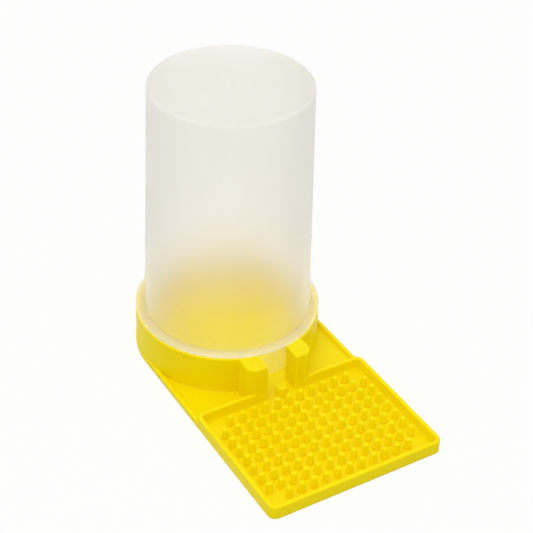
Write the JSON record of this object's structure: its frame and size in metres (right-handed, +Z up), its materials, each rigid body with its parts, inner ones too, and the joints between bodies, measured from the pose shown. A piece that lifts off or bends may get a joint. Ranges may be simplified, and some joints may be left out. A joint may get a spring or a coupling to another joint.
{
  "type": "bee water feeder",
  "caption": "Drinking station for bees: an upturned translucent cup stands in a round collar and feeds a shallow tray studded with pegs to stand on.",
  "frame": {"origin": "on the axis of the collar and cup, on the surface that the feeder stands on", "axes": "+Z up along the cup's axis; the drinking tray points to -Y and the round end of the base to +Y; +X across the base"},
  "size_m": [0.095, 0.1738, 0.1494],
  "materials": {
    "yellow_plastic": "injection-moulded polypropylene, satin gloss, opaque yellow",
    "translucent_plastic": "natural polypropylene, milky translucent, satin"
  },
  "bodies": {
    "base": {"drinking_base": "yellow_plastic"},
    "cup": {"water_cup": "translucent_plastic"}
  },
  "joints": [
    {"name": "cup_lift", "type": "slide", "parent": "base", "child": "cup", "axis": [0, 0, 1], "range_m": [0, 0.04]}
  ]
}
